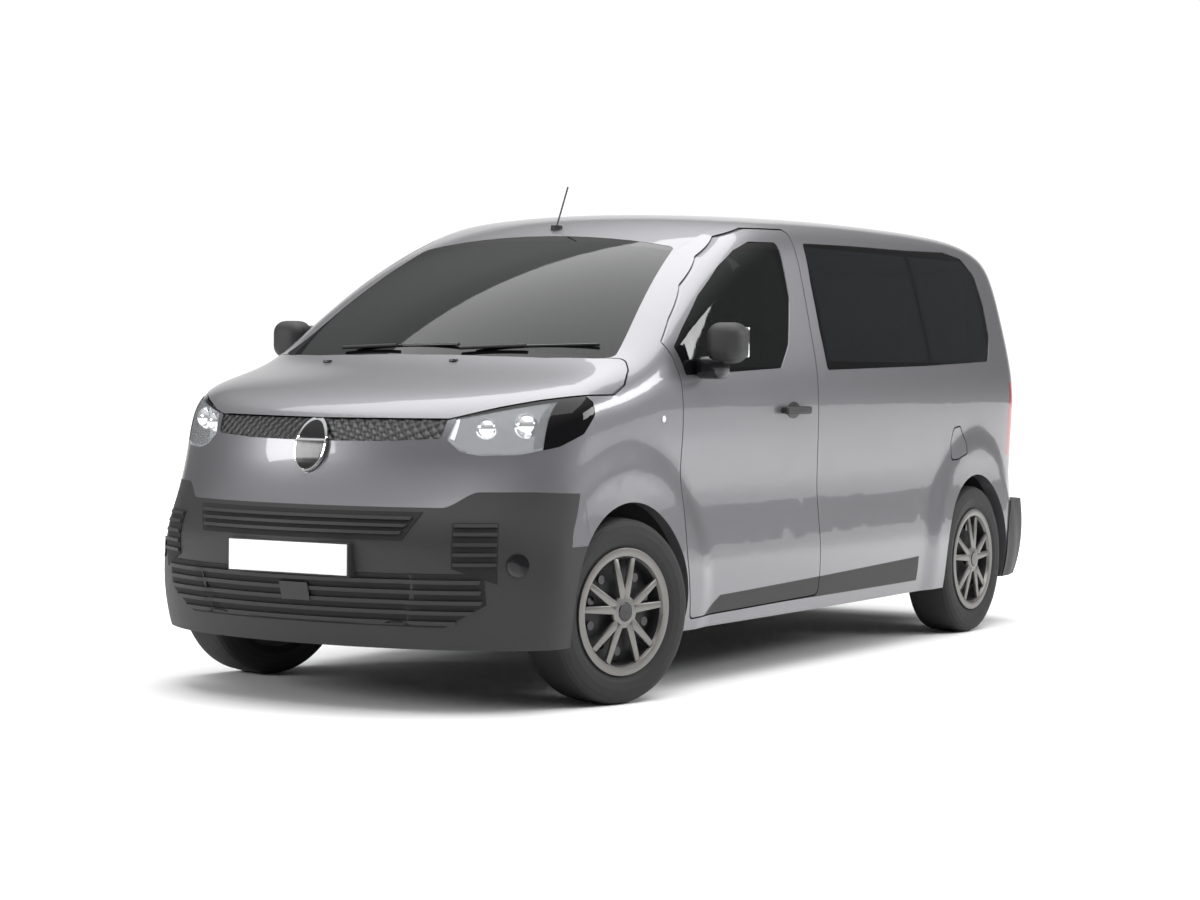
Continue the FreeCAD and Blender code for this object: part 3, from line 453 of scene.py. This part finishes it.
for i, height in enumerate((0.335, 0.372, 0.409, 0.446, 0.483)):
    wide = min(0.69, 0.575 + max(0.0, height - 0.318) * 1.6)
    outline = bandOutline(-wide, wide, height, noseLook["slatHeight"] * 1.3, 0.006)
    lift = noseLook["slatLift"]
    patch("lowerSlat%d" % (i + 1), outline, 0, noseHosts, darkPlastic, "body_shell", 0.002, lift, (56, 2))
cover = bandOutline(-0.062, 0.062, 0.432, 0.066)
patch("sensorCover", cover, 0, noseHosts, glossBlack, "body_shell", 0.009, 0.006, (10, 4))
for side, sign in (("Left", 1), ("Right", -1)):
    corner = sign * 24.0
    across = viewAxes(corner)[0]

    def flat(x, y):
        return across.x * x * sign + across.y * y

    low = sorted((flat(0.60, -2.335), flat(0.735, -2.245)))
    outline = [(low[0], 0.53), (low[1], 0.475), (low[1], 0.69), (low[0], 0.69)]
    if sign < 0:
        outline = [(low[0], 0.475), (low[1], 0.53), (low[1], 0.69), (low[0], 0.69)]
    patch("sideIntake" + side, outline, corner, noseHosts, intakeShadeBlack, "body_shell",
          shadeSheetLift, shadeSheetThick, (16, 8))
    for i, height in enumerate((0.545, 0.58, 0.615, 0.65, 0.68)):
        slat = bandOutline(low[0] + 0.004, low[1] - 0.004, height, 0.012)
        patch("side%sSlat%d" % (side, i + 1), slat, corner, noseHosts, darkPlastic, "body_shell",
              0.002, 0.008, (16, 2))
    fogTurn = sign * 38.0
    fogSpot = viewAxes(fogTurn)[0].dot(Vector((sign * 0.80, -2.213, 0)))
    fogOutline = oval((fogSpot, 0.542), (0.04, 0.04))
    patch("fogCover" + side, fogOutline, fogTurn, noseHosts, glossBlack, "body_shell", 0.001, 0.006, (14, 14))

wide, tall = noseLook["plate"]
middle = noseLook["plateHeight"]
front = touch(nose, (0, -3.0, 0.60), (0, 1, 0)).y
low = Vector((-wide / 2, front, middle - tall / 2))
high = Vector((wide / 2, front, middle + tall / 2))
roundBox("plateHolder", low - Vector((0.006, 0.002, 0.006)), high + Vector((0.006, 0.05, 0.006)), 0.003,
         darkPlastic, "body_shell", 2)
roundBox("frontPlate", low - Vector((0, 0.007, 0)), high, 0.002, plateWhite, "body_shell", 2)
badgeHosts = (nodes["upper_grille"], nose)
rim, tallRim = noseLook["badge"]
badgeSpot = (0, noseLook["badgeHeight"])
ring = oval(badgeSpot, (rim, tallRim), 40)
face = oval(badgeSpot, (rim - 0.008, tallRim - 0.008), 40)
patch("badgeRing", ring, 0, badgeHosts, chrome, "body_shell", 0.006, 0.012, (24, 30))
patch("badgeFace", face, 0, badgeHosts, glossBlack, "body_shell", 0.016, 0.005, (24, 30))
print("nose done")

# Lamps: two bright chambers and a dark wrap on each side.
chamberPlaces = ((0.605, -2.125, 1.020, 0.040), (0.715, -2.035, 1.030, 0.046))    # x, y, z, radius
for side, sign in (("Left", 1), ("Right", -1)):
    for i, (x, y, z, size) in enumerate(chamberPlaces):
        bpy.ops.object.select_all(action="DESELECT")
        bpy.ops.mesh.primitive_uv_sphere_add(
            segments=24, ring_count=14, radius=size, location=(sign * x, y, z),
        )
        finishPiece(bpy.context.object, "lampChamber%s%d" % (side, i + 1), chrome, "body_shell")

# Doors: handles and mirrors.
handleLook = {"span": (-0.424, -0.200), "height": 1.072, "cup": (0.055, 0.034)}
for side, sign, body in (("Left", 1, "left_front_door"), ("Right", -1, "right_front_door")):
    door = nodes["front_door_" + side.lower()]
    low, high = handleLook["span"]
    height = handleLook["height"]
    middle = (low + high) / 2
    skin = abs(touch(door, (sign * 2, middle, height), (-sign, 0, 0)).x)
    cup = oval((sign * middle, height), handleLook["cup"])
    patch("handleCup" + side, cup, sign * 90, (door,), glossBlack, body, 0.0005, 0.002, (16, 12))
    near, far = sorted((sign * (skin + 0.012), sign * (skin + 0.034)))
    roundBox("handleBar" + side, (near, low, height - 0.016), (far, high, height + 0.016), 0.010,
             darkPlastic, body)
    for i, y in enumerate((low + 0.02, high - 0.02)):
        near, far = sorted((sign * (skin - 0.004), sign * (skin + 0.022)))
        roundBox("handleFoot%s%d" % (side, i + 1), (near, y - 0.016, height - 0.013),
                 (far, y + 0.016, height + 0.013), 0.006, darkPlastic, body, 2)
    near, far = sorted((sign * 0.955, sign * 1.104))
    head = roundBox("mirrorHead" + side, (near, -1.148, 1.262), (far, -1.012, 1.418), 0.052,
                    darkPlastic, body, 6)
    near, far = sorted((sign * 0.906, sign * 1.030))
    roundBox("mirrorFoot" + side, (near, -1.132, 1.200), (far, -1.040, 1.290), 0.030, glossBlack, body, 5)
    near, far = sorted((sign * 0.972, sign * 1.088))
    roundBox("mirrorFace" + side, (near, -1.018, 1.285), (far, -1.009, 1.400), 0.004, chrome, body, 2)
    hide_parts("door_mirror_" + side.lower())
    wing = nodes["front_wings"]
    spot = oval((sign * -1.363, 1.050), (0.013, 0.013), 16)
    patch("wingLamp" + side, spot, sign * 90, (wing,), chrome, "body_shell", 0.0005, 0.003, (8, 8))
slider = nodes["sliding_door_right"]
skin = abs(touch(slider, (-2, 0.14, 1.07), (1, 0, 0)).x)
roundBox("sliderHandle", (-skin - 0.034, 0.04, 1.054), (-skin + 0.004, 0.25, 1.088), 0.010,
         darkPlastic, "body_shell")
print("doors done")

# Windscreen: wipers and washer jets.
screen = nodes["windscreen"]


def onScreen(x, z, lift):
    return touch(screen, (x, -3.0, z), (0, 1, 0)) + Vector((0, -0.8, 0.6)).normalized() * lift


wiperEnds = ((0.12, 1.300, 0.66, 1.322), (-0.46, 1.298, 0.10, 1.318))    # x, z of both ends
for i, (x0, z0, x1, z1) in enumerate(wiperEnds):
    root, middle = onScreen(x0, z0, 0.016), onScreen((x0 + x1) / 2, (z0 + z1) / 2, 0.018)
    bar("wiperArm%d" % (i + 1), root, middle, 0.007, darkPlastic, "body_shell")
    root, tip = onScreen(x0 + 0.06, z0 + 0.006, 0.010), onScreen(x1, z1, 0.010)
    bar("wiperBlade%d" % (i + 1), root, tip, 0.006, glossBlack, "body_shell")
for i, x in enumerate((-0.400, 0.184)):
    top = touch(nodes["bonnet"], (x, -1.70, 2.0), (0, 0, -1))
    roundBox("washerJet%d" % (i + 1), (x - 0.016, top.y - 0.010, top.z - 0.003),
             (x + 0.016, top.y + 0.010, top.z + 0.009), 0.004, glossBlack, "bonnet_lid", 2)

# Tail: number plate and handle.
tail = nodes["tailgate"]
back = touch(tail, (0, 4.0, 0.95), (0, -1, 0)).y
roundBox("rearPlate", (-0.26, back - 0.002, 0.895), (0.26, back + 0.006, 1.005), 0.002,
         plateWhite, "tailgate_lid", 2)
roundBox("tailHandle", (-0.30, back - 0.002, 1.03), (0.30, back + 0.020, 1.075), 0.008,
         darkPlastic, "tailgate_lid", 3)
print("fittings done")

# Wheels: a dark steel wheel behind a cover with five pairs of spokes.
wheelLook = {
    "face": 0.092, "rimIn": 0.203, "spokes": 5, "spokeWidth": 0.036, "spokeThick": 0.014, "hub": 0.062,
    "holes": 10, "holeCircle": 0.148, "holeRadius": 0.017,
}


# A ring about the X axis from (radius, x) points, made with Spin.
def turned(profile, name, count=72):
    bpy.ops.object.select_all(action="DESELECT")
    bpy.ops.mesh.primitive_circle_add(vertices=len(profile), radius=0.1)
    ring = bpy.context.object
    for vertex, (radius, x) in zip(ring.data.vertices, profile):
        vertex.co = (x, 0, radius)
    bpy.ops.object.mode_set(mode="EDIT")
    bpy.ops.mesh.select_all(action="SELECT")
    bpy.ops.mesh.spin(steps=count, angle=2 * math.pi, center=(0, 0, 0), axis=(1, 0, 0))
    bpy.ops.mesh.select_all(action="SELECT")
    bpy.ops.mesh.remove_doubles(threshold=0.00005)
    bpy.ops.mesh.normals_make_consistent(inside=False)
    bpy.ops.object.mode_set(mode="OBJECT")
    ring.name = name
    return ring


# One arm of a pair, from near the hub to the rim.
def spoke(angle, lean):
    look = wheelLook
    root, tip = look["hub"] * 0.72, look["rimIn"] + 0.006
    bpy.ops.object.select_all(action="DESELECT")
    bpy.ops.mesh.primitive_cube_add(size=1.0, location=(0, 0, (root + tip) / 2))
    arm = bpy.context.object
    arm.scale = (look["spokeThick"], look["spokeWidth"], tip - root)
    bpy.ops.object.transform_apply(location=True, rotation=False, scale=True)
    useModifier(arm, "BEVEL", width=0.004, segments=2, limit_method="NONE")
    for vertex in arm.data.vertices:
        far = max(0.0, (vertex.co.z - root) / (tip - root))
        vertex.co.x += look["face"] + 0.004 - 0.006 * far
        vertex.co.y = vertex.co.y * (1.0 - 0.32 * far) + lean * (0.006 + 0.040 * far ** 1.3)
        vertex.co.z -= 0.012 * far ** 3
    arm.rotation_euler = (math.radians(angle), 0, 0)
    bpy.ops.object.transform_apply(location=True, rotation=True, scale=True)
    return arm


# Sections of the wheel's rings, as (radius, x).
wheelSections = {
    "barrel": [(0.2055, -0.086), (0.233, -0.0895), (0.2335, -0.097), (0.214, -0.096), (0.196, -0.090),
               (0.190, -0.060), (0.190, 0.060), (0.197, 0.088), (0.206, 0.084)],
    "disc": [(0.030, 0.030), (0.060, 0.030), (0.080, 0.052), (0.120, 0.058), (0.191, 0.040),
             (0.191, 0.046), (0.120, 0.066), (0.076, 0.060), (0.030, 0.060)],
    "rim": [(0.199, 0.086), (0.206, 0.0995), (0.222, 0.1035), (0.2365, 0.100), (0.2365, 0.092),
            (0.222, 0.0905), (0.206, 0.086)],
    "hub": [(0.001, 0.086), (0.050, 0.086), (0.062, 0.091), (0.060, 0.100), (0.046, 0.104), (0.001, 0.104)],
    "cap": [(0.001, 0.100), (0.034, 0.100), (0.036, 0.104), (0.032, 0.1075), (0.001, 0.108)],
}


def makeWheel(name, matrix, node, body):
    look = wheelLook
    barrel = turned(wheelSections["barrel"], name)
    disc = turned(wheelSections["disc"], name)
    steelWheel = join([barrel, disc], name + "Steel")
    rimRing = turned(wheelSections["rim"], name)
    hubDisc = turned(wheelSections["hub"], name)
    arms = [spoke(360.0 * i / look["spokes"], lean) for i in range(look["spokes"]) for lean in (-1, 1)]
    cover = join([rimRing, hubDisc] + arms, name + "Cover")
    cap = turned(wheelSections["cap"], name + "Cap")
    # Gloss black discs on the steel disc where its holes are: painted shade standing in for the openings.
    discs = []
    for i in range(look["holes"]):
        angle = 2 * math.pi * i / look["holes"]
        reach = look["holeCircle"]
        bpy.ops.object.select_all(action="DESELECT")
        bpy.ops.mesh.primitive_cylinder_add(
            vertices=18, radius=look["holeRadius"], depth=0.003, rotation=(0, math.pi / 2, 0),
            location=(0.0625, reach * math.sin(angle), reach * math.cos(angle)),
        )
        discs.append(bpy.context.object)
    holes = join(discs, name + "Holes")
    wheelPieces = ((steelWheel, steel), (cover, coverMetal), (cap, glossBlack), (holes, glossBlack))
    for piece, finish in wheelPieces:
        pick(piece)
        bpy.ops.object.transform_apply(location=True, rotation=True, scale=True)
        piece.data.transform(matrix)
        finishPiece(piece, piece.name, finish, body)
    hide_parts(node)


# The front wheels stand turned 15 degrees to the right, so their axles point that much forward.
steerTurn = {"front": -0.255133, "rear": 0.0}
steerLean = 0.0056
wheelPlaces = {
    "front_left": (0.8113, -1.616007, 0.344369), "front_right": (-0.8113, -1.558993, 0.344369),
    "rear_left": (0.809, 1.6875, 0.345), "rear_right": (-0.809, 1.6875, 0.345),
}
for place, centre in wheelPlaces.items():
    end, side = place.split("_")
    sign = 1 if side == "left" else -1
    slant = steerTurn[end]
    lean = -steerLean * sign if slant else 0.0
    axle = Vector((math.sqrt(1 - slant * slant), slant, lean)).normalized()
    outward = axle * sign
    ahead = Vector((0, 0, 1)).cross(outward).normalized()
    upright = outward.cross(ahead)
    matrix = Matrix.Translation(centre) @ Matrix((outward, ahead, upright)).transposed().to_4x4()
    makeWheel(end + side.capitalize() + "Wheel", matrix, place + "_wheel", place + "_wheel_unit")
print("wheels done")

# Floor, light and camera.
cameraLook = {"spot": (5.884, -10.402, 1.282), "turn": 30.15, "rise": 1.95, "roll": 0.62, "lens": 82.3}


def aim(look):
    turn, rise, roll = (math.radians(look[k]) for k in ("turn", "rise", "roll"))
    back = Vector((math.sin(turn) * math.cos(rise), -math.cos(turn) * math.cos(rise), math.sin(rise)))
    right = Vector((math.cos(turn), math.sin(turn), 0))
    up = back.cross(right)
    across = right * math.cos(roll) + up * math.sin(roll)
    upright = up * math.cos(roll) - right * math.sin(roll)
    matrix = Matrix((across, upright, back)).transposed().to_4x4()
    return Matrix.Translation(look["spot"]) @ matrix


bpy.ops.object.camera_add()
camera = bpy.context.object
camera.matrix_world = aim(cameraLook)
camera.data.lens = cameraLook["lens"]
camera.data.sensor_width = 36.0
camera.data.clip_end = 200.0
bpy.context.scene.camera = camera

bpy.ops.object.select_all(action="DESELECT")
bpy.ops.mesh.primitive_plane_add(size=120.0, location=(0, 0, 0))
floor = bpy.context.object
floor.name = "studioFloor"
floorLook = Graph("glowingPaleFloor")
sx, sy = floorLook.spot()[1], floorLook.spot()[2]
# The floor glows from 3.2 m out from the origin, fully at about 6.8 m: painted light that whitens the far
# floor, while near the car only the lamps and sky light it.
farFloorGlow = (((sx * sx + sy * sy).root() - 3.2) * 0.28).most(0.0).least(1.0)
floorLook.set(Base_Color=(0.90, 0.90, 0.90, 1), Roughness=0.9 + 0.05 * floorLook.noise(1.0))
floorLook.set(Emission_Color=floorLook.blend(farFloorGlow, (0, 0, 0, 1), (1, 1, 1, 1)), Emission_Strength=0.8)
floor.data.materials.append(floorLook.material)

# The sky is white behind the object, as the camera stands, and darker round the sides.
skyLook = {"back": (-0.503, 0.864), "dark": 0.13, "top": 0.70, "power": 1.06}


def makeSky():
    world = bpy.data.worlds.new("studio")
    world.use_nodes = True
    tree = world.node_tree
    graph = Graph.__new__(Graph)
    graph.tree, graph.place = tree, None
    spread = graph.node("ShaderNodeTexCoord", output="Generated")
    x, y, z = (graph.node("ShaderNodeSeparateXYZ", None, (spread,), i) for i in range(3))
    toBack = x * skyLook["back"][0] + y * skyLook["back"][1]
    back = ((toBack - 0.84) * 9.0).most(0.0).least(1.0) * ((0.42 - z) * 9.0).most(0.0).least(1.0)
    top = ((z - 0.34) * 3.2).most(0.0).least(1.0)
    glow = (skyLook["dark"] + top * (skyLook["top"] - skyLook["dark"])).most(back)
    shade = graph.node("ShaderNodeCombineColor", None, (glow, glow, glow))
    background = tree.nodes["Background"]
    tree.links.new(shade.socket, background.inputs[0])
    background.inputs[1].default_value = skyLook["power"]
    return world


bpy.context.scene.world = makeSky()
bpy.context.scene.view_settings.view_transform = "Standard"


def softLight(name, spot, target, size, power):
    bpy.ops.object.light_add(type="AREA", location=spot)
    lamp = bpy.context.object
    lamp.name = name
    lamp.data.shape = "RECTANGLE"
    lamp.data.size, lamp.data.size_y = size
    lamp.data.energy = power
    way = Vector(target) - Vector(spot)
    lamp.rotation_euler = way.to_track_quat("-Z", "Y").to_euler()
    return lamp


softLight("topLight", (0.8, -0.5, 7.0), (0, 0, 0), (9.0, 12.0), 1050.0)
softLight("sideLight", (8.0, 5.5, 4.6), (0.5, 0.8, 1.1), (6.0, 2.0), 380.0)
softLight("noseLight", (-5.5, -8.0, 3.4), (0, -2, 0.8), (3.6, 2.0), 260.0)
print("stage done")
